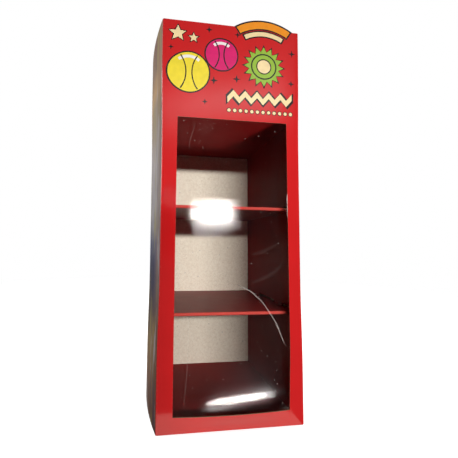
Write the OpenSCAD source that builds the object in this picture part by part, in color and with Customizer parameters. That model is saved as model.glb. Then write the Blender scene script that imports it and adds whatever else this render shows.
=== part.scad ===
// Three-compartment cardboard display stand with a clear window.
// Millimetres. The front faces -Y, +Z is up, and the origin is the middle of the underside.

/* [Wrap] */
// Width of the front panel between its two folds
front_w = 250; // [180:1:360]
// Depth from the front face to the back face
depth = 264; // [200:1:340]
// How far each side bulges outwards at mid-depth
side_bow = 15; // [3:0.5:30]
// Thickness of the printed board
wrap_t = 2; // [1.2:0.1:4]
// Inside radius of the wrap's folds
wrap_fold_r = 1; // [0.5:0.1:3]
// Width of the two returns folded in at the back
return_w = 38; // [20:1:70]

/* [Window] */
// Width of the frame left on each side of the window
side_border = 25; // [15:1:45]
// Height of the frame's bottom bar above the floor of the lowest compartment
floor_hide = 20; // [8:0.5:40]
// How far the window's top edge hangs below the ceiling
ceiling_hide = 12; // [4:0.5:40]
// Radius of the window's cut corners
window_r = 1; // [0.5:0.5:10]
// Thickness of the clear film
film_t = 0.4; // [0.2:0.1:1]
// How deep the film is bowed into the stand
film_bow = 14; // [4:0.5:15]
// Height over which the film leans back from its lower edge to the full bow
film_foot = 50; // [30:1:90]
// Height over which the film comes forward again below its upper edge
film_head = 148; // [60:1:200]
// How far the film lies flat behind the frame below and above the window
film_lap = 5.5; // [2:0.5:10]

/* [Header] */
// Height of the printed header from the window to the top edge
header_h = 176; // [110:1:260]
// Place of the crest's middle, right of the middle of the front
crest_x = 57.5; // [-50:0.5:58]
// Width of the crest at the top edge
crest_w = 112; // [60:1:120]
// Height of the crest above the top edge
crest_h = 17; // [6:1:40]

/* [Compartments] */
// Clear height of the bottom compartment
bottom_clear = 176.5; // [120:0.5:260]
// Clear height of the middle compartment
middle_clear = 183.5; // [120:0.5:260]
// Clear height of the top compartment
top_clear = 164; // [120:0.5:260]
// Thickness of the liner board
liner_t = 2; // [1:0.1:4]
// Inside radius of the liner's folds
liner_fold_r = 0.8; // [0.4:0.1:3]
// Room between the liner and the wrap at the front folds
liner_gap = 1; // [0.5:0.1:4]

/* [Shelves] */
// Thickness of a folded shelf, which is the height of its front edge
shelf_h = 6; // [5:0.5:16]
// Thickness of the shelf board
shelf_t = 1.6; // [1:0.1:2]
// Outside radius of the shelf's front and rear folds
shelf_fold_r = 2.4; // [2.1:0.1:2.5]
// Distance from the front face to the shelf's front edge
shelf_setback = 20; // [18:1:80]
// Size of the cut that takes off each front corner of a shelf
corner_cut = 10; // [4:0.5:15]
// Room between a shelf and what it slides between
shelf_gap = 0.3; // [0.1:0.1:1]
// Distance from the shelf's front edge to its front tab
front_tab_at = 20; // [18:1:30]
// Length of the front tab
front_tab_l = 20; // [10:1:40]
// Distance from the shelf's front edge to its middle tab
middle_tab_at = 84; // [76:1:95]
// Length of the middle tab
middle_tab_l = 75; // [30:1:90]
// How far a tab reaches past the liner
tab_reach = 3; // [1:0.5:6]
// Spare length of a slot at each end of its tab
slot_play = 3; // [0.5:0.5:3]
// Height of a slot above the shelf that hangs in it
slot_head = 5.5; // [0.5:0.5:12]

/* [Back, top and base] */
// Thickness of the back panel
back_t = 3; // [1.5:0.5:6]
// Thickness of the top panel
top_t = 2; // [1:0.1:4]
// Depth of the top panel's glued flanges
top_flange_h = 30; // [12:1:60]
// Thickness of the base pad
base_t = 4; // [3:0.5:12]
// Room between the bowed sides and the panels that close the wrap
panel_gap = 0.5; // [0.2:0.1:1.5]

/* [Hidden] */
$fn = 96;

// Small overlap that carries a cut clear through a sheet
past = 1;

// Flats that stand for the arc of a fold and of a side and for each end of the film's bow
FOLD_STEPS = 6;
SIDE_STEPS = 32;
FILM_STEPS = 16;

half_w = front_w / 2;
half_d = depth / 2;

// Each side is an arc in plan through the two folds and the bulge
bow_r = (half_d * half_d + side_bow * side_bow) / (2 * side_bow);
bow_x = half_w + side_bow - bow_r;

// The layers from the front face to the back face
front_in_y = -half_d + wrap_t;
liner_front_y = front_in_y + film_t;
return_in_y = half_d - wrap_t;
back_in_y = return_in_y - back_t;
liner_l = back_in_y - liner_front_y;

// The levels from the base to the top edge
floor_z = base_t + liner_t;
lower_shelf_z = floor_z + bottom_clear;
upper_shelf_z = lower_shelf_z + shelf_h + middle_clear;
ceiling_z = upper_shelf_z + shelf_h + top_clear;
window_bottom_z = floor_z + floor_hide;
window_top_z = ceiling_z - ceiling_hide;
wrap_h = window_top_z + header_h;

// The liner's section, seen from the front
liner_half_out = half_w - wrap_t - liner_gap;
liner_half_in = liner_half_out - liner_t;
liner_out_h = ceiling_z + liner_t - base_t;

// The shelf, from its front edge to the back panel
shelf_front_y = -half_d + shelf_setback;
shelf_l = back_in_y - shelf_gap - shelf_front_y;
shelf_half_w = liner_half_in - shelf_gap;

// Each tab as its start behind the shelf's front edge and its length
TABS = [[front_tab_at, front_tab_l], [middle_tab_at, middle_tab_l]];
SHELVES = [lower_shelf_z, upper_shelf_z];

// The crest is a plain arch cut from one circle
crest_r = (crest_w * crest_w / 4 + crest_h * crest_h) / (2 * crest_h);

BOARD_RED = "firebrick";
LINER_RED = "darkred";
BARE_BOARD = "tan";

// Rectangle with round corners, centred on the origin
module round_rect(w, h, r) {
    square([w - 2 * r, h], center = true);
    square([w, h - 2 * r], center = true);
    for (x = [-1, 1], y = [-1, 1])
        translate([x * (w / 2 - r), y * (h / 2 - r)])
            circle(r = r);
}

// Points along an arc, without the trim points at each of its ends
function arc_points(centre, r, from_angle, to_angle, steps, trim = 0) = [
    for (i = [trim : steps - trim])
        let (angle = from_angle + (to_angle - from_angle) * i / steps)
            centre + r * [cos(angle), sin(angle)]
];

// Outline of the wrap moved inwards at its sides and at its front and back, with folds of radius r
function plan_points(side_inset, end_inset, r) =
    let (reach = bow_r - side_inset - r,
         fold_y = half_d - end_inset - r,
         rise = asin(fold_y / reach),
         fold_x = bow_x + reach * cos(rise),
         side_r = bow_r - side_inset)
    concat(
        arc_points([fold_x, -fold_y], r, -90, -rise, FOLD_STEPS),
        arc_points([bow_x, 0], side_r, -rise, rise, SIDE_STEPS, 1),
        arc_points([fold_x, fold_y], r, rise, 90, FOLD_STEPS),
        arc_points([-fold_x, fold_y], r, 90, 180 - rise, FOLD_STEPS),
        arc_points([-bow_x, 0], side_r, 180 - rise, 180 + rise, SIDE_STEPS, 1),
        arc_points([-fold_x, -fold_y], r, 180 + rise, 270, FOLD_STEPS));

module plan(side_inset, end_inset, r) {
    polygon(plan_points(side_inset, end_inset, r));
}

// The folded walls: front, two bowed sides and the two returns at the back
module wrap_walls() {
    linear_extrude(wrap_h)
        difference() {
            plan(0, 0, wrap_fold_r + wrap_t);
            plan(wrap_t, wrap_t, wrap_fold_r);
            translate([0, half_d])
                square([front_w - 2 * return_w, 4 * wrap_t], center = true);
        }
}

// The arch that stands up from the front panel's top edge
module crest() {
    translate([crest_x, front_in_y, wrap_h])
        rotate([90, 0, 0])
            linear_extrude(wrap_t)
                intersection() {
                    translate([0, crest_h - crest_r])
                        circle(r = crest_r, $fn = 180);
                    translate([-crest_w / 2, 0])
                        square([crest_w, crest_h]);
                }
}

module outer_wrap() {
    window_h = window_top_z - window_bottom_z;
    color(BOARD_RED)
        difference() {
            union() {
                wrap_walls();
                crest();
            }
            translate([0, front_in_y + past, window_bottom_z + window_h / 2])
                rotate([90, 0, 0])
                    linear_extrude(wrap_t + 2 * past)
                        round_rect(front_w - 2 * side_border, window_h, window_r);
        }
}

// Rise from 0 to 1, level at both ends
function ease(t) = t * t * (3 - 2 * t);

// Rise from 0 to 1, level only at its end
function ease_out(t) = t * (2 - t);

// The film's section as points of depth behind the front panel and height, from its lower edge up
function film_line(extra) =
    let (foot_z = window_bottom_z - film_lap,
         head_z = window_top_z + film_lap,
         low_z = base_t + panel_gap,
         high_z = base_t + liner_out_h - panel_gap)
    concat(
        [[extra, low_z]],
        [for (i = [0 : FILM_STEPS])
            let (t = i / FILM_STEPS)
                [film_bow * ease(t) + extra, foot_z + film_foot * t]],
        [for (i = [FILM_STEPS : -1 : 0])
            let (t = i / FILM_STEPS)
                [film_bow * ease_out(t) + extra, head_z - film_head * t]],
        [[extra, high_z]]);

// The film, bowed inwards between the liner's walls; the front panel and the front edges of the liner's floor and
// ceiling hold its lower and upper edges
module window_film() {
    film_w = 2 * liner_half_in - 2 * panel_gap;
    back_line = film_line(film_t);
    back_down = [for (i = [len(back_line) - 1 : -1 : 0]) back_line[i]];
    color("lightcyan", 0.3)
        translate([-film_w / 2, front_in_y, 0])
            rotate([90, 0, 90])
                linear_extrude(film_w)
                    polygon(concat(film_line(0), back_down));
}

// Section of the liner tube, seen from the front
module liner_section() {
    difference() {
        round_rect(2 * liner_half_out, liner_out_h, liner_fold_r + liner_t);
        round_rect(2 * liner_half_in, liner_out_h - 2 * liner_t, liner_fold_r);
    }
}

// One slot through both walls of the liner, for one pair of tabs of the shelf at z
module liner_slots(z, tab) {
    tab_z = z + shelf_h - shelf_t;
    translate([-half_w, shelf_front_y + tab[0] - slot_play, tab_z])
        cube([front_w, tab[1] + 2 * slot_play, shelf_t + slot_head]);
}

module inner_liner() {
    color(LINER_RED)
        difference() {
            translate([0, back_in_y, base_t + liner_out_h / 2])
                rotate([90, 0, 0])
                    linear_extrude(liner_l)
                        liner_section();
            for (z = SHELVES, tab = TABS)
                liner_slots(z, tab);
        }
}

// Section of a shelf from front to back, centred on the origin: one sheet folded flat round a hollow
module shelf_section() {
    difference() {
        round_rect(shelf_l, shelf_h, shelf_fold_r);
        round_rect(shelf_l - 2 * shelf_t, shelf_h - 2 * shelf_t, shelf_fold_r - shelf_t);
    }
}

// A folded shelf with its underside at z and its front corners cut off; its tabs hang in the liner's slots
module shelf(z) {
    corner_side = corner_cut * sqrt(2);
    difference() {
        translate([-shelf_half_w, shelf_front_y + shelf_l / 2, z + shelf_h / 2])
            rotate([90, 0, 90])
                linear_extrude(2 * shelf_half_w)
                    shelf_section();
        for (side = [-1, 1])
            translate([side * shelf_half_w, shelf_front_y, z + shelf_h / 2])
                rotate([0, 0, 45])
                    cube([corner_side, corner_side, shelf_h + 2 * past], center = true);
    }
    tab_span = 2 * (liner_half_out + tab_reach);
    tab_root = shelf_fold_r + shelf_t;
    for (tab = TABS, side = [0, 1])
        mirror([side, 0, 0])
            translate([shelf_half_w - tab_root, shelf_front_y + tab[0], z + shelf_h - shelf_t])
                cube([tab_span / 2 - shelf_half_w + tab_root, tab[1], shelf_t]);
}

module upper_shelf() {
    color(BOARD_RED)
        shelf(upper_shelf_z);
}

module lower_shelf() {
    color(BOARD_RED)
        shelf(lower_shelf_z);
}

// The bare board that closes the back, glued to the wrap's returns
module back_panel() {
    color(BARE_BOARD)
        translate([-liner_half_out, back_in_y, base_t])
            cube([2 * liner_half_out, back_t, wrap_h - base_t]);
}

// Section of the top panel from front to back: a sheet with a flange folded down at each end
module top_section() {
    span = back_in_y - front_in_y;
    drop = top_flange_h + top_t;
    fold_r = wrap_fold_r + top_t;
    difference() {
        translate([0, -drop])
            round_rect(span, 2 * drop, fold_r);
        translate([0, -drop - top_t])
            round_rect(span - 2 * top_t, 2 * drop, wrap_fold_r);
        translate([0, -2 * drop])
            square([span + 2 * past, 2 * drop], center = true);
    }
}

module top_panel() {
    color(BOARD_RED)
        intersection() {
            translate([-front_w, (front_in_y + back_in_y) / 2, wrap_h])
                rotate([90, 0, 90])
                    linear_extrude(2 * front_w)
                        top_section();
            linear_extrude(wrap_h + past)
                plan(wrap_t + panel_gap, wrap_t, wrap_fold_r);
        }
}

module base_pad() {
    color(BARE_BOARD)
        linear_extrude(base_t)
            plan(wrap_t + panel_gap, wrap_t, wrap_fold_r);
}

outer_wrap();
window_film();
inner_liner();
upper_shelf();
lower_shelf();
back_panel();
top_panel();
base_pad();
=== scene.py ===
import math
from itertools import chain

import bmesh
import bpy
from mathutils import Matrix, Vector


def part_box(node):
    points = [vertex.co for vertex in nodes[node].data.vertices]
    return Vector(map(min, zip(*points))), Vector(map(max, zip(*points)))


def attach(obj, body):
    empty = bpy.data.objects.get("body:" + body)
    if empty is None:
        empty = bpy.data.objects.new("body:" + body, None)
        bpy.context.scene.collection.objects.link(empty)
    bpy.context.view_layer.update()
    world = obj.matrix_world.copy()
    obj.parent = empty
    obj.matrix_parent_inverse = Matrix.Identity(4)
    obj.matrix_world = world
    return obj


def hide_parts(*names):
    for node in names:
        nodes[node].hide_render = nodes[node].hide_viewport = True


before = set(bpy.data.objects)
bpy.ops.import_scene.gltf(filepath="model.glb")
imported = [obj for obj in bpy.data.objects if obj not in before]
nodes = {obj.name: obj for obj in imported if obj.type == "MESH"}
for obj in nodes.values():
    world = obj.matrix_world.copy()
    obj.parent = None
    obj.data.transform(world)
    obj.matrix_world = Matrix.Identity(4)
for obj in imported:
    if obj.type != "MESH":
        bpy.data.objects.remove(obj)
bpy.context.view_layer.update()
scene = bpy.context.scene

# Millimetres below, as in the part's source. Blender works in metres.
MM = 0.001

# The wrap: one sheet of fine corrugated board, folded at four corners.
HALF_W = 125.0
HALF_D = 132.0
SIDE_BOW = 15.0
BOARD = 2.0
RETURN_W = 38.0
FOLD = 2.6
WINDOW_X = 100.0
WINDOW_LOW = 26.0
WINDOW_HIGH = 530.0
TOP_EDGE = 706.0

# The arched crest on the header's top edge.
CREST_X = 57.5
CREST_W = 112.0
CREST_H = 17.0
CREST_R = (CREST_W * CREST_W / 4 + CREST_H * CREST_H) / (2 * CREST_H)
CREST_LOW = TOP_EDGE + CREST_H - CREST_R

# Flutes of the corrugated core.
FLUTE_PITCH = 3.2


def paint(code):
    """An sRGB hex value as the linear colour that a socket takes."""
    parts = [int(code[k:k + 2], 16) / 255 for k in (1, 3, 5)]
    linear = [v / 12.92 if v <= 0.04045 else ((v + 0.055) / 1.055) ** 2.4 for v in parts]
    return (*linear, 1.0)


def add_node(tree, kind, inputs=None, stops=None, **settings):
    """Adds one node: its settings, the values or links of its inputs, and a ramp's colour stops."""
    made = tree.nodes.new(kind)
    for name, value in settings.items():
        setattr(made, name, value)
    for key, value in (inputs or {}).items():
        if isinstance(value, bpy.types.NodeSocket):
            tree.links.new(value, made.inputs[key])
        else:
            made.inputs[key].default_value = value
    if stops:
        ramp = made.color_ramp.elements
        while len(ramp) < len(stops):
            ramp.new(1.0)
        for element, (place, colour) in zip(ramp, stops):
            element.position = place
            element.color = colour
    return made


def start_material(name):
    """An empty node material and its tree."""
    material = bpy.data.materials.new(name)
    material.use_nodes = True
    material.node_tree.nodes.clear()
    return material, material.node_tree


def show(material, skin):
    """Gives a material its surface shader and hands the material back."""
    output = add_node(material.node_tree, "ShaderNodeOutputMaterial")
    material.node_tree.links.new(skin.outputs[0], output.inputs["Surface"])
    return material


def noise(tree, place, size_mm, detail, roughness=0.5):
    """A cloud pattern, its clouds about a size in mm across."""
    return add_node(tree, "ShaderNodeTexNoise", {"Vector": place, "Scale": 1 / (size_mm * MM), "Detail": detail,
                                                 "Roughness": roughness}).outputs["Fac"]


def remap(tree, value, low, high, to_low=0.0, to_high=1.0, **settings):
    """A value's range from low to high, moved to another range."""
    return add_node(tree, "ShaderNodeMapRange", {"Value": value, "From Min": low, "From Max": high,
                                                 "To Min": to_low, "To Max": to_high},
                    **settings).outputs["Result"]


def calc(tree, operation, first, second=0.0):
    """One sum with one or two numbers."""
    return add_node(tree, "ShaderNodeMath", {0: first, 1: second}, operation=operation).outputs[0]


def blend(tree, share, first, second, **settings):
    """A share of the second colour over the first."""
    return add_node(tree, "ShaderNodeMix", {"Factor": share, 6: first, 7: second}, data_type="RGBA",
                    **settings).outputs[2]


def ramp(tree, value, *stops):
    """A run of colours, each at its place on the value."""
    return add_node(tree, "ShaderNodeValToRGB", {"Fac": value},
                    stops=[(at, paint(code)) for at, code in stops]).outputs["Color"]


def mix_shaders(tree, share, first, second):
    """A share of the second shader over the first."""
    return add_node(tree, "ShaderNodeMixShader", {0: share, 1: first.outputs[0], 2: second.outputs[0]})


def grey(level):
    """A grey of a light level as the colour that a socket takes."""
    return (level, level, level, 1.0)


WHITE = grey(1.0)


def ease(t):
    """0 below 0, 1 above 1 and a smooth rise between."""
    t = min(max(t, 0.0), 1.0)
    return t * t * (3.0 - 2.0 * t)


def between(table, at):
    """The value of a table of (place, value) pairs at a place, on straight lines."""
    for (a, va), (b, vb) in zip(table, table[1:]):
        if at <= b:
            return va + (vb - va) * max(0.0, at - a) / (b - a)
    return table[-1][1]


# Materials

def laminated_print(name, colour, dark, coords, roughness, ior=1.52, pale=None, fold=None):
    """Offset print on white-lined corrugated board under a film laminate: an even ink with a faint cloud in it,
    the flutes just showing through as a washboard, a soft mirror and, where pale is given, rubbed edges. fold
    gives a front fold's place and its end in Y, and a lighter ink laid there: painted light on a lip that faces
    the lamp."""
    material, tree = start_material(name)
    place = add_node(tree, "ShaderNodeTexCoord").outputs[coords]
    # Clouds in the solid ink, about 45 mm across.
    shown = ramp(tree, noise(tree, place, 45.0, 4.0), (0.3, dark), (0.7, colour))
    if pale:
        # Rubbed edges: the attribute is 1 on cut edges and less on folds, broken up by 4 mm noise.
        rubbed = add_node(tree, "ShaderNodeAttribute", attribute_name="edge_wear_and_painted_glow").outputs["Fac"]
        broken = remap(tree, noise(tree, place, 4.0, 3.0), 0.5, 0.72, 0.0, 0.22)
        shown = blend(tree, calc(tree, "MULTIPLY", rubbed, broken), shown, paint(pale))
    if fold:
        # A lighter ink along the fold: painted light on the lip, which faces the lamp while the top takes only
        # grazing light.
        start, end, ink = fold
        parts = add_node(tree, "ShaderNodeSeparateXYZ", {"Vector": place})
        near = remap(tree, parts.outputs["Y"], start * MM, end * MM, 1.0, 0.0)
        shown = blend(tree, near, shown, paint(ink))
    # The washboard of the flutes and paper fibres about 0.7 mm long.
    flute = add_node(tree, "ShaderNodeTexWave",
                     {"Vector": place, "Scale": math.pi / 10 / (FLUTE_PITCH * MM), "Distortion": 0.4,
                      "Detail": 1.0, "Detail Scale": 0.1}, wave_type="BANDS", bands_direction="X")
    relief = add_node(tree, "ShaderNodeMix", {"Factor": 0.25, 2: flute.outputs["Fac"],
                                              3: noise(tree, place, 0.7, 2.0)}, data_type="FLOAT")
    bump = add_node(tree, "ShaderNodeBump", {"Height": relief.outputs[0], "Strength": 0.25,
                                             "Distance": 0.00005})
    # Scuffs about 30 mm across change the gloss a little.
    gloss = remap(tree, noise(tree, place, 30.0, 3.0), 0.3, 0.7, roughness - 0.015, roughness + 0.02)
    skin = add_node(tree, "ShaderNodeBsdfPrincipled", {"Base Color": shown, "Roughness": gloss, "IOR": ior,
                                                       "Normal": bump.outputs["Normal"]})
    return show(material, skin)


def side_print():
    """Offset print under a laminate on the two sides: soft misty fields of brown, tan, navy and grey over each
    other from the foot to the top, browner and darker towards the front fold, partly the print and partly
    painted shade of the fold, with upright wisps of olive, slate and pale grey."""
    material, tree = start_material("laminated_misty_side_print_and_fold_shade")
    place = add_node(tree, "ShaderNodeTexCoord").outputs["Object"]
    parts = add_node(tree, "ShaderNodeSeparateXYZ", {"Vector": place})
    # Clouds about 120 mm across shift the fields up and down.
    lift = remap(tree, noise(tree, place, 120.0, 5.0, 0.6), 0.25, 0.75, -0.06, 0.06)
    height = remap(tree, parts.outputs["Z"], 0.0, TOP_EDGE * MM)
    moved = calc(tree, "ADD", height, lift)
    shown = ramp(tree, moved, (0.0, "#6e4f40"), (0.08, "#8d6c55"), (0.19, "#97805f"), (0.26, "#5f5455"),
                 (0.34, "#4a4a5e"), (0.45, "#5a5d78"), (0.54, "#a8a3a5"), (0.68, "#bab2b1"), (0.77, "#ab9885"),
                 (0.82, "#c7a279"), (0.9, "#957a67"), (1.0, "#86685a"))
    # The mist turns brown and darker in the 55 mm next to the front fold, reddish at the foot and paler higher
    # up: partly the print's own colour, partly painted shade where the side meets the front.
    brown = ramp(tree, moved, (0.0, "#4b2324"), (0.06, "#502825"), (0.175, "#5c372d"), (0.26, "#7d6057"),
                 (0.36, "#9a7f72"), (0.55, "#83685a"), (0.74, "#715748"), (0.9, "#a88262"), (1.0, "#9a7a64"))
    near = remap(tree, parts.outputs["Y"], -HALF_D * MM, (55.0 - HALF_D) * MM, 0.75, 0.0,
                 interpolation_type="SMOOTHSTEP")
    shown = blend(tree, near, shown, brown)
    # Wisps about 20 mm wide and 120 mm long; each ink takes its own part of one of two cloud patterns.
    wisps = []
    for shift in (0.0, 0.37):
        drawn_out = add_node(tree, "ShaderNodeMapping", {"Vector": place, "Location": (shift, shift, shift),
                                                         "Scale": (1.0, 1.0, 0.16)})
        wisps.append(noise(tree, drawn_out.outputs["Vector"], 20.0, 4.0, 0.6))
    for wisp, low, high, most, ink in ((wisps[0], 0.53, 0.63, 0.6, "#a4965a"),
                                       (wisps[0], 0.45, 0.35, 0.5, "#4b4654"),
                                       (wisps[1], 0.57, 0.67, 0.5, "#c9c3c8")):
        shown = blend(tree, remap(tree, wisp, low, high, 0.0, most), shown, paint(ink))
    ink = add_node(tree, "ShaderNodeBsdfDiffuse", {"Color": shown})
    sheen = add_node(tree, "ShaderNodeBsdfGlossy", {"Color": WHITE, "Roughness": 0.3})
    return show(material, mix_shaders(tree, 0.05, ink, sheen))


def bare_board(name, pale, mid, deep, cloud_mm):
    """Unprinted recycled board: matt, warm grey, cloudy, with short darker fibres pressed into it."""
    material, tree = start_material(name)
    place = add_node(tree, "ShaderNodeTexCoord").outputs["Object"]
    tone = ramp(tree, noise(tree, place, cloud_mm, 7.0, 0.62), (0.3, mid), (0.62, pale))
    # Fibres are drawn about 2 mm long, coarser than real ones, so that they show.
    stretched = add_node(tree, "ShaderNodeMapping", {"Vector": place, "Scale": (1.0, 1.0, 0.45)})
    fibre = noise(tree, stretched.outputs["Vector"], 1.3, 3.0)
    shown = blend(tree, remap(tree, fibre, 0.57, 0.75, 0.0, 0.6), tone, paint(deep))
    bump = add_node(tree, "ShaderNodeBump", {"Height": fibre, "Strength": 0.3, "Distance": 0.0001})
    skin = add_node(tree, "ShaderNodeBsdfPrincipled", {"Base Color": shown, "Roughness": 0.85, "IOR": 1.45,
                                                       "Normal": bump.outputs["Normal"]})
    return show(material, skin)


def cut_edge():
    """Die-cut edge of corrugated board: two darkened brown paper faces with a darker band for the core between
    them, painted shade of the edge and its hollow flutes, and the ink that the die carried over the outer one."""
    material, tree = start_material("die_cut_corrugated_edge_painted_shade")
    place = add_node(tree, "ShaderNodeUVMap", uv_map="sheet")
    parts = add_node(tree, "ShaderNodeSeparateXYZ", {"Vector": place.outputs["UV"]})
    # The dark middle stops are painted shade in the hollow core.
    layers = ramp(tree, remap(tree, parts.outputs["Y"], 0.0, BOARD * MM), (0.0, "#a8522f"), (0.14, "#a98a6d"),
                  (0.28, "#4d3826"), (0.72, "#4d3826"), (0.84, "#8f765c"), (1.0, "#8f765c"))
    skin = add_node(tree, "ShaderNodeBsdfPrincipled", {"Base Color": layers, "Roughness": 0.9})
    return show(material, skin)


def printed_ink(name, colour):
    """One flat ink of the header print under the same laminate, a little uneven where it was laid."""
    material, tree = start_material(name)
    place = add_node(tree, "ShaderNodeTexCoord").outputs["Object"]
    level = remap(tree, noise(tree, place, 12.0, 5.0), 0.3, 0.7, 0.93, 1.05)
    shown = blend(tree, 1.0, paint(colour), level, blend_type="MULTIPLY")
    skin = add_node(tree, "ShaderNodeBsdfPrincipled", {"Base Color": shown, "Roughness": 0.17, "IOR": 1.52})
    return show(material, skin)


def clear_film():
    """Extruded polyester film: clear, with a weak mirror over what lies behind, stronger at a slant, and a fine
    veil of white dust as thick as the attribute says, broken up by 2 mm noise, which paints the glow round the
    lamp's streak mirrored in the film's foot."""
    material, tree = start_material("clear_extruded_polyester_film")
    mirror = add_node(tree, "ShaderNodeFresnel", {"IOR": 1.2})
    through = add_node(tree, "ShaderNodeBsdfTransparent", {"Color": (0.98, 0.985, 0.98, 1.0)})
    gloss = add_node(tree, "ShaderNodeBsdfGlossy", {"Color": WHITE, "Roughness": 0.06}, distribution="BECKMANN")
    clean = mix_shaders(tree, mirror.outputs["Fac"], through, gloss)
    place = add_node(tree, "ShaderNodeTexCoord").outputs["Object"]
    thick = add_node(tree, "ShaderNodeAttribute", attribute_name="edge_wear_and_painted_glow").outputs["Fac"]
    uneven = remap(tree, noise(tree, place, 2.0, 3.0), 0.3, 0.7, 0.6, 1.4)
    # This white dust is painted glow round the mirrored streak.
    dust = add_node(tree, "ShaderNodeBsdfDiffuse", {"Color": paint("#f3eeee")})
    return show(material, mix_shaders(tree, calc(tree, "MULTIPLY", thick, uneven), clean, dust))


def whitened_film(name, share):
    """Polyester that was creased, scratched or rubbed, or carries lint, and the glint painted on the film's
    edge: a thin milky veil over the clear film.
    """
    material, tree = start_material(name)
    through = add_node(tree, "ShaderNodeBsdfTransparent")
    milk = add_node(tree, "ShaderNodeBsdfPrincipled", {"Base Color": paint("#f2e4dc"), "Roughness": 0.4})
    return show(material, mix_shaders(tree, share, through, milk))


red_front = laminated_print("gloss_laminated_red_print", "#c91618", "#c41516", "UV", 0.13, pale="#dcae9f")
red_flat = laminated_print("gloss_laminated_red_top_print", "#c91618", "#c41516", "Object", 0.18)
# The lining is a much darker copy of the front's red: painted shade for the dim inside of the stand.
red_liner_darkened_for_shade = laminated_print("matt_red_liner_painted_dark_for_shade", "#801314", "#781112", "Object", 0.5, ior=1.15)
# The shelf's dark red is painted shade for its tops in grazing light, and the pink ink on its front fold is
# painted light on the lip.
red_shelf_painted_shade_lit_lip = laminated_print("silk_red_shelf_painted_shade_and_lit_lip", "#7f1d1c", "#771b1a", "Object", 0.38, ior=1.16,
                            fold=(-110.5, -108.5, "#c84a42"))
misty_side = side_print()
raw_inside = bare_board("unprinted_wrap_inside", "#cdbfa8", "#c0b199", "#9d8a6d", 40.0)
raw_back = bare_board("unprinted_white_lined_back_board", "#f8ecda", "#e9d9c4", "#b9a78c", 6.0)
raw_base = bare_board("unprinted_grey_base_board", "#c4b8a4", "#b5a892", "#8d7e66", 30.0)
edge = cut_edge()
film = clear_film()
crease_white = whitened_film("creased_polyester_film", 0.17)
scratch_white = whitened_film("scratched_polyester_film", 0.03)
rubbed_white = whitened_film("rubbed_polyester_film", 0.006)
# A near-white strip painted as the lamp's glint on the film's right edge.
painted_glint_white = whitened_film("painted_glint_on_film_edge", 0.95)
dust_white = whitened_film("lint_on_polyester_film", 0.32)
edge_ribbon = bare_board("cut_corrugated_core_paper", "#8a7052", "#7a6248", "#5e4a34", 10.0)
ink_black = printed_ink("printed_black_ink", "#1d1516")
ink_orange = printed_ink("printed_orange_ink", "#f0921e")
ink_green = printed_ink("printed_lime_ink", "#93b63c")
ink_yellow = printed_ink("printed_yellow_ink", "#ecd536")
ink_magenta = printed_ink("printed_magenta_ink", "#d51b68")
ink_cream = printed_ink("printed_cream_ink", "#f3d9a4")
ink_white = printed_ink("printed_white_ink", "#efeae4")


# Sheets

def add_sheet(bm, outer, inner, faces, paints, back_paint, rim_paint, spread=None, wear=None):
    """Closes a thin sheet: its outer faces, its inner faces and the rim along every open edge.
    spread gives each point its place on the flat sheet, in mm, for the pattern that follows the sheet, and wear
    its share of wear, or of the white dust that paints a glow on the film."""
    uv = bm.loops.layers.uv.verify() if spread else None
    worn = bm.verts.layers.float.get("edge_wear_and_painted_glow") if wear else None
    front = [bm.verts.new(Vector(p) * MM) for p in outer]
    back = [bm.verts.new(Vector(p) * MM) for p in inner]
    if worn:
        for k, share in enumerate(wear):
            front[k][worn] = share
            back[k][worn] = share
    open_edges = {}
    for face, ink in zip(faces, paints):
        for a, b in zip(face, face[1:] + face[:1]):
            open_edges[(a, b)] = True
        for side, ring, index in ((front, face, ink), (back, face[::-1], back_paint)):
            made = bm.faces.new([side[k] for k in ring])
            made.material_index = index
            made.smooth = True
            if uv:
                for loop, k in zip(made.loops, ring):
                    loop[uv].uv = (spread[k][0] * MM, spread[k][1] * MM)
    for a, b in list(open_edges):
        if (b, a) in open_edges:
            continue
        made = bm.faces.new((front[b], front[a], back[a], back[b]))
        made.material_index = rim_paint
        for side in made.edges:
            side.smooth = False
        if uv:
            for loop, (k, across) in zip(made.loops, ((b, 0.0), (a, 0.0), (a, BOARD), (b, BOARD))):
                loop[uv].uv = (spread[k][0] * MM, across * MM)


def make_piece(name, bm, materials):
    """A mesh object at the origin with its place in its mesh."""
    mesh = bpy.data.meshes.new(name)
    bm.to_mesh(mesh)
    bm.free()
    for material in materials:
        mesh.materials.append(material)
    piece = bpy.data.objects.new(name, mesh)
    scene.collection.objects.link(piece)
    return piece


def front_swell(x, z):
    """How far the front stands out of its plane: the bar under the window is pushed forward in the middle
    by the film, and the header has a slight belly."""
    if z <= WINDOW_LOW:
        return 5.0 * max(0.0, 1.0 - (x / WINDOW_X) ** 2) * ease((z - 3.0) / 23.0)
    if WINDOW_HIGH < z < TOP_EDGE:
        rise = math.sin(math.pi * (z - WINDOW_HIGH) / (TOP_EDGE - WINDOW_HIGH))
        return 0.6 * rise * math.cos(math.pi * x / (2 * HALF_W))
    return 0.0


# How far the window's two cut edges stray to the right of the drawing at each height, pulled by the film.
LEFT_CUT = ((26.0, -0.4), (270.0, 0.1), (530.0, 1.3))
RIGHT_CUT = ((26.0, 1.8), (126.0, 4.0), (270.0, 2.9), (530.0, 1.2))


def flare(z):
    """How far both sides stand outside the drawing: the stand opens a little at its foot and at its top."""
    return 2.4 * ease((260.0 - z) / 160.0) + 1.8 * ease((z - 480.0) / 150.0)


def front_point(x, z, lift=0.0):
    """A point of the real front: strayed sideways, swollen forwards and lifted off the board."""
    stray = ((-HALF_W, -flare(z)), (-WINDOW_X, between(LEFT_CUT, z)), (WINDOW_X, between(RIGHT_CUT, z)),
             (HALF_W, flare(z)))
    return (x + between(stray, x), -HALF_D - front_swell(x, z) - lift, z)


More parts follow.
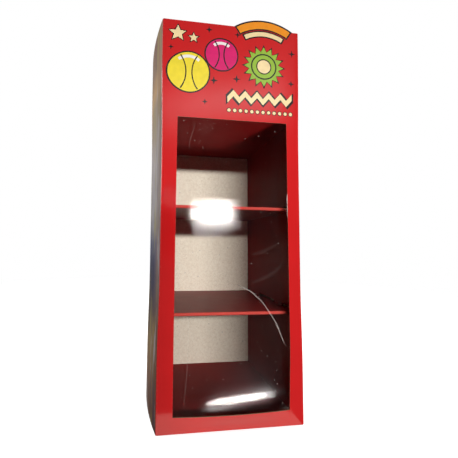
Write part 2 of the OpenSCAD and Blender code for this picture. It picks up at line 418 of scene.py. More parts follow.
def wrap_point(at, part, outward, z, lift=0.0):
    """A point of the real wrap at a height: at is its place in the drawing, seen from above."""
    x, y = at
    if part == "front":
        return front_point(x, z, lift)
    opened = math.copysign(flare(z), x) * min(1.0, (HALF_D - y) / HALF_D)
    return (x + opened + outward[0] * lift, y + outward[1] * lift, z)


def crest_rise(x):
    """Height of the arched crest above the top edge at x."""
    if abs(x - CREST_X) >= CREST_W / 2 - 0.001:
        return 0.0
    return CREST_LOW + math.sqrt(CREST_R * CREST_R - (x - CREST_X) ** 2) - TOP_EDGE


def steps(a, b, size):
    """Even steps from a to b, none longer than size."""
    count = max(1, math.ceil(abs(b - a) / size - 1e-9))
    return [a + (b - a) * k / count for k in range(count + 1)]


def sheet_path():
    """The printed face of the wrap seen from above, from the left return round the front to the right one:
    points, the part of the sheet that each stands on, the run along the sheet and the outward direction."""
    bow_r = (HALF_D * HALF_D + SIDE_BOW * SIDE_BOW) / (2 * SIDE_BOW)
    bow_x = bow_r - SIDE_BOW - HALF_W
    reach = math.asin(HALF_D / bow_r)
    trim = FOLD / bow_r
    inner_edge = HALF_W - RETURN_W
    left_back = [(x, HALF_D) for x in steps(-inner_edge, -HALF_W + FOLD, 6.0)]
    left = [(bow_x - bow_r * math.cos(a), bow_r * math.sin(a))
            for a in steps(reach - trim, trim - reach, 8.0 / bow_r)]
    columns = set(round(x, 3) for x in steps(-HALF_W + FOLD, HALF_W - FOLD, 5.0))
    columns |= {-101.5, -WINDOW_X, WINDOW_X, 101.5}
    columns |= set(round(x, 3) for x in steps(CREST_X - CREST_W / 2, CREST_X + CREST_W / 2, 2.0))
    front = [(x, -HALF_D) for x in sorted(columns)]
    right = [(-x, y) for x, y in reversed(left)]
    right_back = [(-x, y) for x, y in reversed(left_back)]
    corners = ((-HALF_W, HALF_D), (-HALF_W, -HALF_D), (HALF_W, -HALF_D), (HALF_W, HALF_D))
    legs = (("return", left_back), ("side", left), ("front", front), ("side", right), ("return", right_back))
    points = []
    parts = []
    for k, (part, leg) in enumerate(legs):
        points += leg
        parts += [part] * len(leg)
        if k < 4:
            a = leg[-1]
            b = legs[k + 1][1][0]
            c = corners[k]
            for t in (1 / 6, 2 / 6, 3 / 6, 4 / 6, 5 / 6):
                points.append(tuple(a[i] * (1 - t) ** 2 + 2 * c[i] * t * (1 - t) + b[i] * t * t
                                    for i in (0, 1)))
                parts.append("fold")
    runs = [0.0]
    for p, q in zip(points, points[1:]):
        runs.append(runs[-1] + math.dist(p, q))
    outward = []
    for k in range(len(points)):
        p = points[max(0, k - 1)]
        q = points[min(len(points) - 1, k + 1)]
        along = Vector((q[0] - p[0], q[1] - p[1])).normalized()
        outward.append((along.y, -along.x))
    return points, parts, runs, outward


def make_wrap():
    """The printed wrap: one sheet with folds, window, crest and returns, printed outside and bare inside."""
    points, parts, runs, outward = sheet_path()
    rows = [0.0, 1.5, 6.0, 12.0, 17.0, 21.0, 24.5, WINDOW_LOW, 27.5]
    rows += steps(36.0, 520.0, 12.0)
    rows += [528.5, WINDOW_HIGH, 531.5]
    rows += steps(540.0, 700.0, 8.0)
    rows += [704.5, TOP_EDGE]
    outer = []
    inner = []
    spread = []
    wear = []
    index = {}

    def place(i, j):
        """Number of the point in column i and row j; rows past the last climb the crest."""
        x = points[i][0]
        crest = crest_rise(x) if parts[i] == "front" else 0.0
        if j >= len(rows) and crest == 0.0:
            j = len(rows) - 1
        if (i, j) in index:
            return index[(i, j)]
        z = rows[j] if j < len(rows) else TOP_EDGE + crest * (j - len(rows) + 1) / 4
        outer.append(wrap_point(points[i], parts[i], outward[i], z))
        inner.append(wrap_point(points[i], parts[i], outward[i], z, -BOARD))
        spread.append((runs[i], z))
        rim = z < 0.1 or z > TOP_EDGE + crest - 0.1 or i in (0, len(points) - 1)
        if parts[i] == "front" and WINDOW_LOW - 0.1 <= z <= WINDOW_HIGH + 0.1 and abs(x) <= WINDOW_X + 0.1:
            rim = True
        wear.append(1.0 if rim else 0.3 if parts[i] == "fold" else 0.0)
        index[(i, j)] = len(outer) - 1
        return index[(i, j)]

    faces = []
    paints = []
    for i in range(len(points) - 1):
        mid = (points[i][0] + points[i + 1][0]) / 2
        both = {parts[i], parts[i + 1]}
        crest = both == {"front"} and max(crest_rise(points[i][0]), crest_rise(points[i + 1][0])) > 0
        for j in range(len(rows) + (3 if crest else -1)):
            if both == {"front"} and abs(mid) < WINDOW_X and j + 1 < len(rows):
                if WINDOW_LOW <= rows[j] and rows[j + 1] <= WINDOW_HIGH:
                    continue
            ring = [place(i, j), place(i + 1, j), place(i + 1, j + 1), place(i, j + 1)]
            ring = list(dict.fromkeys(ring))
            if len(ring) > 2:
                faces.append(ring)
                paints.append(1 if "side" in both else 0)
    bm = bmesh.new()
    bm.loops.layers.uv.new("sheet")
    bm.verts.layers.float.new("edge_wear_and_painted_glow")
    add_sheet(bm, outer, inner, faces, paints, 2, 3, spread, wear)
    return make_piece("printed_wrap", bm, (red_front, misty_side, raw_inside, edge))


# The film, bowed inwards between the bar under the window and the header

FILM_BOW = 14.0
FILM_FOOT = 50.0
FILM_HEAD = 148.0
FILM_LAP = 5.5
# How many degrees the film leans back beyond the solid's bow at each height, read from what it mirrors.
FILM_LEAN = ((75.0, 0.0), (115.0, -0.1), (270.0, -0.1), (298.0, 0.3), (310.0, 2.55), (320.0, 3.4),
             (330.0, 3.45), (339.0, 3.13), (363.0, 1.9), (389.0, -0.17), (395.0, -1.1), (402.0, -1.6),
             (450.0, -1.5), (536.0, -0.5))
# The lean climbs to the right of a middle line, and the bend at the foot climbs round another.
LEAN_X = -24.0
LEAN_CLIMB = 0.1
FOOT_X = 17.0
FOOT_CLIMB = 0.09
FOOT_DROP = 2.5
# Thickness of the film as it is drawn.
FILM_T = 0.3
# The line along which the white dust lies on the film's foot, painted glow round the mirrored streak: its
# height, where it has it, and its climb to the right.
GLOW_DUST_Z = 34.0
GLOW_DUST_X = 8.0
GLOW_DUST_CLIMB = 0.15
film_low, film_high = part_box("window_film")


def lean_depths():
    """The depth that the lean adds at each whole millimetre of height."""
    depths = [0.0]
    for z in range(1, 560):
        lean = between(FILM_LEAN, z) if FILM_LEAN[0][0] <= z <= FILM_LEAN[-1][0] else 0.0
        depths.append(depths[-1] + math.tan(math.radians(lean)))
    return depths


LEAN_DEPTHS = tuple(enumerate(lean_depths()))


def film_depth(x, z):
    """How far the film stands behind its plane: the solid's bow, a shallow slanting dent at the upper shelf
    and, near the foot, a slight dish and twist."""
    aside = x - FOOT_X
    foot = ease((z - FOOT_CLIMB * aside + FOOT_DROP - WINDOW_LOW + FILM_LAP) / FILM_FOOT)
    rise = min(max((WINDOW_HIGH + FILM_LAP - z) / FILM_HEAD, 0.0), 1.0)
    bow = FILM_BOW * foot * rise * (2.0 - rise)
    dent = between(LEAN_DEPTHS, z - LEAN_CLIMB * (x - LEAN_X))
    held = ease((130.0 - z) / 60.0) * ease((z - 7.0) / 20.0)
    twist = (0.6 * (1.0 - (aside / 100.0) ** 2) - 0.012 * aside) * held
    return max(0.0, bow + dent + twist)


def film_face(x, z, lift=0.0):
    """A point of the film's front face, in mm, lifted towards the front."""
    return (x, film_low.y / MM + film_depth(x, z) - lift, z)


def dust_and_painted_glow_share(x, z):
    """How thick the white dust lies on the film's foot, painted glow round the lamp's streak mirrored there:
    most along its bend, a trace above it on the right.
    """
    above = z - GLOW_DUST_Z - GLOW_DUST_CLIMB * (x - GLOW_DUST_X)
    past = max(0.0, -24.0 - x, x - 60.0)
    line = math.exp(-max(0.0, above - 8.0) / 4.5 - max(0.0, 5.0 - above) / 3.0 - (past / 14.0) ** 2)
    trace = math.exp(-((x - 35.0) / 45.0) ** 2) * ease((130.0 - z) / 60.0) * ease(above / 8.0)
    return (min(0.15, 0.4 * line) + 0.009 * trace) * ease((z - 26.0) / 4.0)


def make_film():
    """The clear film as a thin bowed sheet, dusty at its foot, the dust painting the glow round the mirrored
    streak.
    """
    xs = steps(film_low.x / MM, film_high.x / MM, 4.0)
    zs = steps(film_low.z / MM, 18.0, 3.0) + steps(19.0, 74.0, 1.0) + steps(76.0, film_high.z / MM, 2.0)
    outer = [film_face(x, z) for x in xs for z in zs]
    inner = [(x, y + FILM_T, z) for x, y, z in outer]
    dust = [dust_and_painted_glow_share(x, z) for x in xs for z in zs]
    faces = []
    for i in range(len(xs) - 1):
        for j in range(len(zs) - 1):
            k = i * len(zs) + j
            faces.append([k, k + len(zs), k + len(zs) + 1, k + 1])
    bm = bmesh.new()
    bm.verts.layers.float.new("edge_wear_and_painted_glow")
    add_sheet(bm, outer, inner, faces, [0] * len(faces), 0, 0, None, dust)
    return make_piece("bowed_window_film", bm, (film,))


def make_marks():
    """A kink that turned white, a short painted glint at the film's right edge, and faint scratches and rub
    marks, all thin strips on the film."""
    kink = ((12.0, 238.0), (25.0, 232.0), (40.0, 224.0), (50.0, 215.0), (59.0, 207.0), (75.0, 185.0),
            (88.0, 164.0), (94.0, 149.0), (106.0, 123.0))
    kink_widths = (0.1, 0.6, 1.0, 0.9, 0.8, 0.8, 0.9, 0.5, 0.1)
    second = ((84.0, 167.0), (90.0, 158.0), (95.0, 146.0), (100.0, 132.0))
    glint = ((101.6, 358.0), (101.9, 376.0), (101.9, 389.0), (101.7, 400.0))
    scratches = (((-68.0, 207.0), (-73.0, 170.0), (-74.0, 120.0), (-75.0, 90.0), (-78.0, 55.0),
                  (-82.0, 32.0)),
                 ((-66.0, 523.0), (-70.0, 509.0), (-75.0, 492.0), (-76.0, 476.0)),
                 ((10.0, 436.0), (22.0, 424.0), (34.0, 409.0)))
    rubs = (((33.0, 239.0), (58.0, 247.0), (83.0, 259.0), (104.0, 282.0)),
            ((36.0, 291.0), (62.0, 296.0), (92.0, 312.0)))
    lines = [(kink, kink_widths, 0), (second, (0.1, 0.9, 0.8, 0.1), 0), (glint, (0.1, 0.3, 0.8, 0.3), 3)]
    lines += [(line, (0.1,) + (0.7,) * (len(line) - 2) + (0.1,), 1) for line in scratches]
    lines += [(line, (0.1,) + (3.5,) * (len(line) - 2) + (0.1,), 2) for line in rubs]
    bm = bmesh.new()
    for line, half, index in lines:
        fine = smooth_line(line, 8)
        ring = []
        for k, (x, z) in enumerate(fine):
            p = fine[max(0, k - 1)]
            q = fine[min(len(fine) - 1, k + 1)]
            along = Vector((q[0] - p[0], q[1] - p[1])).normalized()
            wide = between(tuple(enumerate(half)), k / 8)
            ring.append(((x - along.y * wide, z + along.x * wide), (x + along.y * wide, z - along.x * wide)))
        # The glint, a white strip painted for the lamp's light caught there, lies where the film is bent
        # forwards into the window's cut edge.
        lifts = [film_depth(x, z) + 1.3 if index == 3 else 0.25 for pair in ring for x, z in pair]
        outer = [film_face(x, z, lift) for (x, z), lift in zip(chain(*ring), lifts)]
        inner = [film_face(x, z, lift - 0.15) for (x, z), lift in zip(chain(*ring), lifts)]
        faces = [[2 * k, 2 * k + 1, 2 * k + 3, 2 * k + 2] for k in range(len(fine) - 1)]
        faces = [face if facing_front(outer, face) else face[::-1] for face in faces]
        add_sheet(bm, outer, inner, faces, [index] * len(faces), index, index)
    return make_piece("film_kink_and_scratches", bm, (crease_white, scratch_white, rubbed_white, painted_glint_white))


def smooth_line(points, cuts):
    """A smooth curve through points, cut into short straight lines."""
    ends = (points[0], *points, points[-1])
    made = []
    for a, b, c, d in zip(ends, ends[1:], ends[2:], ends[3:]):
        for k in range(cuts):
            t = k / cuts
            made.append(tuple(0.5 * (2 * b[i] + (c[i] - a[i]) * t
                                     + (2 * a[i] - 5 * b[i] + 4 * c[i] - d[i]) * t * t
                                     + (3 * b[i] - a[i] - 3 * c[i] + d[i]) * t ** 3) for i in (0, 1)))
    made.append(points[-1])
    return made


def facing_front(points, ring):
    """Whether a ring of points turns its face to the front."""
    a, b, c = (Vector(points[k]) for k in ring[:3])
    return (b - a).cross(c - a).y < 0


# The header print: plain shapes in flat inks, each a layer of ink laid on the board

def disc(x, z, r):
    return [(x + r * math.cos(math.tau * k / 48), z + r * math.sin(math.tau * k / 48)) for k in range(48)]


def arch_band(x, z, low, high, half_angle, middle=90.0):
    """A bent band round (x, z), to both sides of a middle direction, straight up if none is given."""
    turns = [math.radians(middle + half_angle - 2 * half_angle * k / 40) for k in range(41)]
    top = [(x + high * math.cos(a), z + high * math.sin(a)) for a in turns]
    under = [(x + low * math.cos(a), z + low * math.sin(a)) for a in reversed(turns)]
    return top + under


def zigzag(x0, x1, z, height, count, half):
    """A zigzag bar of even thickness."""
    centre = [(x0 + (x1 - x0) * k / count, z + (height / 2 if k % 2 else -height / 2))
              for k in range(count + 1)]
    top = [(x, y + half) for x, y in centre]
    under = [(x, y - half) for x, y in reversed(centre)]
    return top + under


def star(x, z, r, inner, arms, turn):
    made = []
    for k in range(2 * arms):
        a = math.radians(turn) + math.pi * k / arms
        far = r if k % 2 == 0 else inner
        made.append((x + far * math.cos(a), z + far * math.sin(a)))
    return made


def lay_ink(bm, outline, index, lift):
    """Lays one shape of ink on the front: cut small enough to follow the header's belly."""
    flat = bmesh.new()
    flat.faces.new([flat.verts.new((x, 0.0, z)) for x, z in outline])
    flat.normal_update()
    bmesh.ops.triangulate(flat, faces=flat.faces[:])
    for axis, low, high in ((0, -120, 120), (2, 536, 720)):
        for at in range(low, high + 1, 8):
            where = Vector((0.0, 0.0, 0.0))
            where[axis] = at
            across = Vector((0.0, 0.0, 0.0))
            across[axis] = 1.0
            bmesh.ops.bisect_plane(flat, geom=flat.verts[:] + flat.edges[:] + flat.faces[:],
                                   plane_co=where, plane_no=across)
    flat.verts.index_update()
    corners = [(v.co.x, v.co.z) for v in flat.verts]
    rings = [[v.index for v in face.verts] for face in flat.faces]
    flat.free()
    outer = [front_point(x, z, lift) for x, z in corners]
    inner = [front_point(x, z, -0.1) for x, z in corners]
    rings = [ring if facing_front(outer, ring) else ring[::-1] for ring in rings]
    add_sheet(bm, outer, inner, rings, [index] * len(rings), index, index)


def make_header_print():
    """A plain fairground sort of print: arches under the crest, a sun, two balls, a zigzag and stars."""
    inks = (ink_black, ink_orange, ink_green, ink_yellow, ink_magenta, ink_cream, ink_white)
    black, orange, green, yellow, magenta, cream, white = range(7)
    bm = bmesh.new()
    # Arches that follow the crest.
    for low, high, half_angle, ink, lift in ((19.0, 0.1, 33.2, black, 0.06), (16.4, 3.0, 31.6, orange, 0.1),
                                             (33.0, 20.0, 30.6, black, 0.06), (30.6, 22.4, 28.6, cream, 0.1)):
        lay_ink(bm, arch_band(CREST_X, CREST_LOW, CREST_R - low, CREST_R - high, half_angle), ink, lift)
    # A sun under them.
    sun_z = 634.0
    lay_ink(bm, star(CREST_X, sun_z, 42.0, 29.0, 16, 90.0), black, 0.06)
    lay_ink(bm, star(CREST_X, sun_z, 37.6, 28.0, 16, 90.0), green, 0.1)
    for r, ink, lift in ((24.5, black, 0.13), (22.0, green, 0.16), (14.5, black, 0.19), (12.5, cream, 0.22)):
        lay_ink(bm, disc(CREST_X, sun_z, r), ink, lift)
    # Two balls.
    for x, z, r, ink in ((-81.0, 612.0, 36.0, yellow), (-22.0, 649.0, 29.0, magenta)):
        lay_ink(bm, disc(x, z, r + 2.6), black, 0.06)
        lay_ink(bm, disc(x, z, r), ink, 0.1)
        lay_ink(bm, arch_band(x, z, r - 10.0, r - 4.5, 40.0), white, 0.13)
        for side in (-1.0, 1.0):
            seam = arch_band(x + side * 1.6 * r, z, 1.45 * r - 1.1, 1.45 * r + 1.1, 36.0, 90.0 + side * 90.0)
            lay_ink(bm, seam, black, 0.16)
    # A zigzag with a dark edge, and a row of dots.
    lay_ink(bm, zigzag(-14.0, 114.0, 573.0, 13.0, 11, 9.4), black, 0.06)
    lay_ink(bm, zigzag(-11.0, 111.0, 573.4, 12.6, 11, 5.8), cream, 0.1)
    for k in range(12):
        lay_ink(bm, disc(-8.0 + 10.6 * k, 548.0, 4.3), black, 0.06)
        lay_ink(bm, disc(-8.0 + 10.6 * k, 548.0, 3.0), cream, 0.1)
    # Stars.
    for x, z, r in ((-101.0, 682.0, 15.0), (-73.0, 676.0, 9.0)):
        lay_ink(bm, star(x, z, r + 3.0, (r + 3.0) * 0.48, 5, 90.0), black, 0.06)
        lay_ink(bm, star(x, z, r, r * 0.45, 5, 90.0), cream, 0.1)
    for x, z, r in ((8.0, 690.0, 6.0), (6.0, 606.0, 7.5), (112.0, 664.0, 7.0), (110.0, 606.0, 6.5),
                    (-45.0, 694.0, 6.5), (-36.0, 600.0, 7.5), (-112.0, 655.0, 5.0), (-52.0, 560.0, 5.5)):
        lay_ink(bm, star(x, z, r, r * 0.33, 4, 90.0), black, 0.06)
    return make_piece("header_print", bm, inks)


# What repeats: the wavy core on the cut edges and the lint on the film

def bake(piece):
    """Turns a piece with Geometry Nodes into a plain mesh."""
    bpy.context.view_layer.update()
    mesh = bpy.data.meshes.new_from_object(piece.evaluated_get(bpy.context.evaluated_depsgraph_get()))
    piece.modifiers.clear()
    piece.data = mesh


def add_inputs(tree, sockets):
    """Names the tree's inputs and gives it one geometry output."""
    tree.interface.new_socket("Geometry", in_out="OUTPUT", socket_type="NodeSocketGeometry")
    for name, kind in sockets:
        tree.interface.new_socket(name, in_out="INPUT", socket_type=kind)
    return add_node(tree, "NodeGroupInput"), add_node(tree, "NodeGroupOutput")


def set_inputs(modifier, values):
    """Sets a Geometry Nodes modifier's inputs by their identifiers."""
    for socket in modifier.node_group.interface.items_tree:
        if socket.in_out == "INPUT" and socket.name in values:
            modifier[socket.identifier] = values[socket.name]


def core_tree():
    """A paper ribbon that waves along each line of a mesh."""
    tree = bpy.data.node_groups.new("wavy_core", "GeometryNodeTree")
    given, made = add_inputs(tree, (("Geometry", "NodeSocketGeometry"), ("Pitch", "NodeSocketFloat"),
                                    ("Swing", "NodeSocketFloat"), ("Paper", "NodeSocketFloat"),
                                    ("Finish", "NodeSocketMaterial")))
    line = add_node(tree, "GeometryNodeMeshToCurve", {"Mesh": given.outputs["Geometry"]})
    step = calc(tree, "DIVIDE", given.outputs["Pitch"], 6.0)
    fine = add_node(tree, "GeometryNodeResampleCurve", {"Curve": line.outputs["Curve"],
                                                        "Length": step}, mode="LENGTH")
    run = add_node(tree, "GeometryNodeSplineParameter")
    turns = calc(tree, "DIVIDE", run.outputs["Length"], given.outputs["Pitch"])
    wave = calc(tree, "SINE", calc(tree, "MULTIPLY", turns, math.tau))
    swing = calc(tree, "MULTIPLY", wave, given.outputs["Swing"])
    along = add_node(tree, "GeometryNodeInputTangent")
    aside = add_node(tree, "ShaderNodeVectorMath", {0: along.outputs["Tangent"], 1: (0.0, 0.0, 1.0)},
                     operation="CROSS_PRODUCT")
    shift = add_node(tree, "ShaderNodeVectorMath", {0: aside.outputs["Vector"], "Scale": swing},
                     operation="SCALE")
    waved = add_node(tree, "GeometryNodeSetPosition", {"Geometry": fine.outputs["Curve"],
                                                       "Offset": shift.outputs["Vector"]})
    section = add_node(tree, "GeometryNodeCurvePrimitiveQuadrilateral",
                       {"Width": given.outputs["Paper"], "Height": given.outputs["Paper"]})
    ribbon = add_node(tree, "GeometryNodeCurveToMesh", {"Curve": waved.outputs["Geometry"],
                                                        "Profile Curve": section.outputs["Curve"],
                                                        "Fill Caps": True})
    whole = add_node(tree, "GeometryNodeRealizeInstances", {"Geometry": ribbon.outputs["Mesh"]})
    finish = add_node(tree, "GeometryNodeSetMaterial", {"Geometry": whole.outputs["Geometry"],
                                                        "Material": given.outputs["Finish"]})
    tree.links.new(finish.outputs["Geometry"], made.inputs["Geometry"])
    return tree


def make_core():
    """The corrugated core where the wrap is cut across its flutes: along the top and in the window."""
    points, parts, _, outward = sheet_path()
    bm = bmesh.new()
    half = BOARD / 2
    top = []
    for at, part, out in zip(points, parts, outward):
        rise = crest_rise(at[0]) if part == "front" else 0.0
        top.append(wrap_point(at, part, out, TOP_EDGE + rise, -half))
    across = steps(-WINDOW_X + 1.0, WINDOW_X - 1.0, 5.0)
    sill = [front_point(x, WINDOW_LOW, -half) for x in across]
    head = [front_point(x, WINDOW_HIGH, -half) for x in across]
    for line in (top, sill, head):
        made = [bm.verts.new(Vector(p) * MM) for p in line]
        for a, b in zip(made, made[1:]):
            bm.edges.new((a, b))
    piece = make_piece("corrugated_core", bm, ())
    modifier = piece.modifiers.new("wavy_core", "NODES")
    modifier.node_group = core_tree()
    set_inputs(modifier, {"Pitch": FLUTE_PITCH * MM, "Swing": 0.62 * MM, "Paper": 0.3 * MM,
                          "Finish": edge_ribbon})
    bake(piece)
    return piece


def lint_tree():
    """Small flecks scattered over a mesh, flat on it."""
    tree = bpy.data.node_groups.new("lint", "GeometryNodeTree")
    given, made = add_inputs(tree, (("Geometry", "NodeSocketGeometry"),
                                    ("Per square metre", "NodeSocketFloat"),
                                    ("Smallest", "NodeSocketFloat"), ("Largest", "NodeSocketFloat"),
                                    ("Seed", "NodeSocketInt"), ("Finish", "NodeSocketMaterial")))
    spots = add_node(tree, "GeometryNodeDistributePointsOnFaces",
                     {"Mesh": given.outputs["Geometry"], "Density": given.outputs["Per square metre"],
                      "Seed": given.outputs["Seed"]}, distribute_method="RANDOM")
    fleck = add_node(tree, "GeometryNodeMeshCircle", {"Vertices": 7, "Radius": 1.0}, fill_type="NGON")
    size = add_node(tree, "FunctionNodeRandomValue", {2: given.outputs["Smallest"],
                                                      3: given.outputs["Largest"],
                                                      "Seed": given.outputs["Seed"]}, data_type="FLOAT")
    placed = add_node(tree, "GeometryNodeInstanceOnPoints",
                      {"Points": spots.outputs["Points"], "Instance": fleck.outputs["Mesh"],
                       "Rotation": spots.outputs["Rotation"], "Scale": size.outputs[1]})
    whole = add_node(tree, "GeometryNodeRealizeInstances", {"Geometry": placed.outputs["Instances"]})
    finish = add_node(tree, "GeometryNodeSetMaterial", {"Geometry": whole.outputs["Geometry"],
                                                        "Material": given.outputs["Finish"]})
    tree.links.new(finish.outputs["Geometry"], made.inputs["Geometry"])
    return tree


def make_lint():
    """Lint and dust on the front of the film."""
    xs = steps(-97.0, 97.0, 12.0)
    zs = steps(32.0, 526.0, 8.0)
    bm = bmesh.new()
    grid = [[bm.verts.new(Vector(film_face(x, z, 0.2)) * MM) for z in zs] for x in xs]
    for i in range(len(xs) - 1):
        for j in range(len(zs) - 1):
            bm.faces.new((grid[i][j], grid[i + 1][j], grid[i + 1][j + 1], grid[i][j + 1]))
    piece = make_piece("film_lint", bm, ())
    modifier = piece.modifiers.new("lint", "NODES")
    modifier.node_group = lint_tree()
    set_inputs(modifier, {"Per square metre": 900.0, "Smallest": 0.3 * MM, "Largest": 0.8 * MM, "Seed": 11,
                          "Finish": dust_white})
    bake(piece)
    return piece


# Pieces

wrap = make_wrap()
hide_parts("outer_wrap")
bowed_film = make_film()
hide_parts("window_film")
marks = make_marks()
header = make_header_print()
core = make_core()
lint = make_lint()
for piece, finish in ((wrap, "printed_board"), (bowed_film, "clear_film"), (marks, "clear_film"),
                      (header, "printed_board"), (core, "printed_board"), (lint, "clear_film")):
    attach(piece, "root")

for name, finish in (("inner_liner", red_liner_darkened_for_shade), ("upper_shelf", red_shelf_painted_shade_lit_lip), ("lower_shelf", red_shelf_painted_shade_lit_lip),
                     ("back_panel", raw_back), ("top_panel", red_flat), ("base_pad", raw_base)):
    nodes[name].data.materials.clear()
    nodes[name].data.materials.append(finish)


# Floor, light and camera

def make_floor():
    """A plain pale floor that shows white to the eye and keeps the stand's shadow. Its glow is weaker in
    reflections, as the room in front of the stand is dim."""
    bm = bmesh.new()
    bmesh.ops.create_grid(bm, x_segments=2, y_segments=2, size=6.0,
                          matrix=Matrix.Translation((0, 0, -0.0004)))
    material, tree = start_material("pale_studio_floor")
    path = add_node(tree, "ShaderNodeLightPath")
    place = add_node(tree, "ShaderNodeTexCoord").outputs["Object"]
    far = add_node(tree, "ShaderNodeVectorMath", {0: place}, operation="LENGTH")
    fade = remap(tree, far.outputs["Value"], 0.3, 2.2, interpolation_type="SMOOTHSTEP")
    glow = add_node(tree, "ShaderNodeEmission", {"Color": WHITE, "Strength": remap(tree, fade, 0.0, 1.0, 0.66)})
    matt = add_node(tree, "ShaderNodeBsdfDiffuse", {"Color": remap(tree, fade, 0.0, 1.0, 0.8, 0.0)})
    seen = add_node(tree, "ShaderNodeAddShader", {0: matt.outputs["BSDF"], 1: glow.outputs["Emission"]})
    dim = add_node(tree, "ShaderNodeEmission", {"Color": WHITE, "Strength": 0.2})
    dark = add_node(tree, "ShaderNodeBsdfDiffuse", {"Color": grey(0.06)})
    bounced = mix_shaders(tree, path.outputs["Is Glossy Ray"], dark, dim)
    shown = mix_shaders(tree, path.outputs["Is Camera Ray"], bounced, seen)
    floor = make_piece("studio_floor", bm, (show(material, shown),))


def light_only(source, pieces):
    """Keeps the light of a lamp or a card to some pieces."""
    source.light_linking.receiver_collection = bpy.data.collections.new(source.name + "_lights")
    for piece in pieces:
        source.light_linking.receiver_collection.objects.link(piece)


def stage_card(name, corners, kind, inputs, last_hidden):
    """A flat card with one shader, out of sight of the eye, of matt and of clear surfaces and of one more kind
    of ray."""
    bm = bmesh.new()
    bm.faces.new([bm.verts.new(p) for p in corners])
    material, tree = start_material(name)
    card = make_piece(name, bm, (show(material, add_node(tree, kind, inputs)),))
    for ray in ("camera", "diffuse", "transmission", last_hidden):
        setattr(card, "visible_" + ray, False)
    return card


def mirror_card(name, corners, colour, strength, seen_in=()):
    """A glowing card that only mirrors see, like a lamp's diffuser outside the picture; seen_in names the
    pieces that mirror it, if not all do."""
    glow = {"Color": paint(colour), "Strength": strength}
    card = stage_card(name, corners, "ShaderNodeEmission", glow, "shadow")
    if seen_in:
        light_only(card, seen_in)


def flag_card(name, corners):
    """A black card that only holds light off the stand and is itself not seen."""
    stage_card(name, corners, "ShaderNodeBsdfDiffuse", {"Color": grey(0.01)}, "glossy")


def net_card(name, corners, share):
    """A net that lets a share of the lamps' light through and is itself not seen."""
    stage_card(name, corners, "ShaderNodeBsdfTransparent", {"Color": grey(share)}, "glossy")


def glow_patch(left, right, low, high):
    """Corners of a patch round the lamp's diffuser: level on top, steep on the left, easing off to the
    right."""
    outline = ((0.0, 0.5), (0.05, 0.85), (0.14, 1.0), (0.36, 1.0), (0.55, 0.82), (0.72, 0.55), (0.87, 0.25),
               (1.0, 0.0))
    made = [(left + (right - left) * across, -low * down) for across, down in outline]
    return made + [(right, high), (left, high)]


def soft_box(name, place, target, wide, high, watts):
    """A rectangular studio lamp that faces a target."""
    lamp = bpy.data.lights.new(name, "AREA")
    lamp.shape = "RECTANGLE"
    lamp.size = wide
    lamp.size_y = high
    lamp.energy = watts
    holder = bpy.data.objects.new(name, lamp)
    scene.collection.objects.link(holder)
    aim = (Vector(target) - Vector(place)).to_track_quat("-Z", "Y")
    holder.matrix_world = Matrix.Translation(place) @ aim.to_matrix().to_4x4()
    return holder


make_floor()
front_lamp = soft_box("front_strip", (0.4, -2.4, 0.79), (0.0, 0.0, 0.4), 1.25, 0.12, 66.0)
front_lamp.visible_glossy = False
soft_box("left_box", (-2.3, 0.5, 1.3), (0.0, 0.0, 0.35), 1.2, 1.2, 42.0)
soft_box("right_box", (2.3, 0.5, 1.3), (0.0, 0.0, 0.35), 1.2, 1.2, 22.0)
soft_box("back_box", (0.4, 2.4, 1.2), (0.0, 0.0, 0.35), 1.4, 1.2, 34.0)
soft_box("top_box", (0.0, 0.3, 2.6), (0.0, 0.0, 0.35), 1.4, 1.4, 22.0)

# A small lamp low in front of the window puts a red glow on the front of the lining's ceiling and lights only
# the lining.
low_lamp = soft_box("low_bounce", (0.215, -0.46, 0.03), (-0.12, -0.07, 0.54), 0.08, 0.05, 2.5)
low_lamp.visible_glossy = False
light_only(low_lamp, (nodes["inner_liner"],))

# A flag keeps a part of the strip off the front's left border below the upper shelf.
flag_card("lamp_flag", ((-0.135, -0.5, 0.0), (-0.09, -0.5, 0.0), (-0.09, -0.5, 0.434), (-0.135, -0.5, 0.434)))
# The strip's barn door takes a fifth of its light off the top of the header.
flag_card("barn_door", ((-0.6, -2.1, 0.809), (1.4, -2.1, 0.809), (1.4, -2.1, 1.0), (-0.6, -2.1, 1.0)))
# A net behind the lower shelf's front edge dims the bottom compartment.
net_card("bottom_net", ((-0.118, -0.105, 0.009), (0.118, -0.105, 0.009), (0.118, -0.105, 0.18),
                        (-0.118, -0.105, 0.18)), 0.78)
# What the film mirrors twice: the lamp's diffuser, an uneven patch about 480 mm wide and 55 mm high, and its
# haze, which fades downwards in three steps.
LAMP_X = 0.5
LAMP_Y = -2.4
LAMP_Z = 0.76
patch = ((-0.297, 0.012), (-0.29, -0.004), (-0.275, -0.0115), (-0.255, -0.016), (-0.235, -0.0185),
         (-0.195, -0.019), (-0.155, -0.0208), (-0.115, -0.0222), (-0.075, -0.0222), (-0.035, -0.0205),
         (0.005, -0.0165), (0.045, -0.0105), (0.085, -0.0055), (0.125, -0.001), (0.165, 0.0035),
         (0.187, 0.011), (0.16, 0.03), (0.0, 0.034), (-0.22, 0.032))
diffuser = [(LAMP_X + x, LAMP_Y, LAMP_Z + z) for x, z in patch]
mirror_card("lamp_diffuser", diffuser, "#fffaf2", 200.0, (bowed_film,))
for k, (left, right, low, strength) in enumerate(((-0.245, 0.22, 0.05, 34.0), (-0.235, 0.25, 0.086, 18.0),
                                                  (-0.225, 0.28, 0.112, 9.0))):
    haze = [(LAMP_X + x, LAMP_Y - 0.01 * (k + 1), LAMP_Z + z) for x, z in glow_patch(left, right, low, 0.04)]
    mirror_card(f"lamp_haze_{k + 1}", haze, "#fff6f4", strength, (bowed_film,))
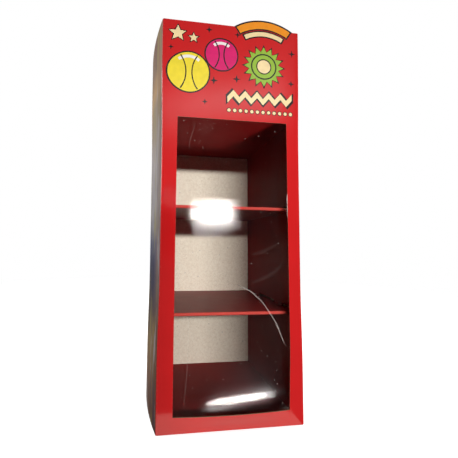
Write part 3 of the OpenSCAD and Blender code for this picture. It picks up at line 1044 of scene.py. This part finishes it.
# What the bar under the window mirrors: the lit strip of floor right in front of the stand.
mirror_card("lit_floor_strip", ((-0.16, -0.132, 0.0004), (-0.16, -0.19, 0.0004), (0.125, -0.19, 0.0004),
                                (0.125, -0.132, 0.0004)), "#fff0e4", 1.7)

world = bpy.data.worlds.new("studio_room")
world.use_nodes = True
scene.world = world
room = world.node_tree
room.nodes.clear()
path = add_node(room, "ShaderNodeLightPath")
way = add_node(room, "ShaderNodeTexCoord")
ways = add_node(room, "ShaderNodeSeparateXYZ", {"Vector": way.outputs["Generated"]})
# The room in front of the stand, by height: dark below, a pale band of wall about 23 to 29 degrees up, dim
# above it.
heights = ((0.0, 0.03), (0.11, 0.04), (0.16, 0.2), (0.27, 0.3), (0.36, 0.7), (0.42, 2.3), (0.455, 2.3),
           (0.5, 0.8), (0.58, 0.35), (0.7, 0.2))
walls = add_node(room, "ShaderNodeValToRGB", {"Fac": ways.outputs["Z"]},
                 stops=[(at, grey(level)) for at, level in heights])
# The band is weaker far left and ends at the right.
reach = add_node(room, "ShaderNodeValToRGB", {"Fac": ways.outputs["X"]},
                 stops=[(0.04, grey(0.5)), (0.13, WHITE), (0.39, WHITE), (0.435, grey(0.0))])
front = blend(room, reach.outputs["Color"], grey(0.2), walls.outputs["Color"])
# Behind the stand the room is the white backdrop.
behind = remap(room, ways.outputs["Y"], -0.1, 0.3, interpolation_type="SMOOTHSTEP")
round_about = blend(room, behind, front, WHITE)
mirrored = add_node(room, "ShaderNodeBackground", {"Color": round_about, "Strength": 1.0})
fill = add_node(room, "ShaderNodeBackground", {"Color": WHITE, "Strength": 0.012})
white = add_node(room, "ShaderNodeBackground", {"Color": WHITE, "Strength": 1.0})
unseen = mix_shaders(room, path.outputs["Is Glossy Ray"], fill, mirrored)
all_rays = mix_shaders(room, path.outputs["Is Camera Ray"], unseen, white)
sky = add_node(room, "ShaderNodeOutputWorld")
room.links.new(all_rays.outputs["Shader"], sky.inputs["Surface"])

# The camera, fitted to the corners of the front, the window and the shelves in a 458 x 458 picture: the focal
# length and the point that the lens looks straight at, in pixels.
PICTURE_PX = 458.0
FOCAL_PX = 288.6
MIDDLE_PX = (186.1, 225.2)
lens = bpy.data.cameras.new("photo_camera")
lens.sensor_width = 36.0
lens.lens = 36.0 * FOCAL_PX / PICTURE_PX
lens.shift_x = (PICTURE_PX / 2 - MIDDLE_PX[0]) / PICTURE_PX
lens.shift_y = (MIDDLE_PX[1] - PICTURE_PX / 2) / PICTURE_PX
lens.clip_start = 0.01
camera = bpy.data.objects.new("photo_camera", lens)
scene.collection.objects.link(camera)
yaw, pitch, roll = (math.radians(a) for a in (7.63, 3.72, 0.65))
ahead = Vector((math.sin(yaw) * math.cos(pitch), math.cos(yaw) * math.cos(pitch), math.sin(pitch)))
level = Vector((math.cos(yaw), -math.sin(yaw), 0.0))
upright = level.cross(ahead)
across = math.cos(roll) * level + math.sin(roll) * upright
upward = math.cos(roll) * upright - math.sin(roll) * level
turned = Matrix((across, upward, -ahead)).transposed()
camera.matrix_world = Matrix.Translation((-0.14675, -0.6185, 0.3085)) @ turned.to_4x4()
scene.camera = camera
scene.view_settings.view_transform = "Standard"
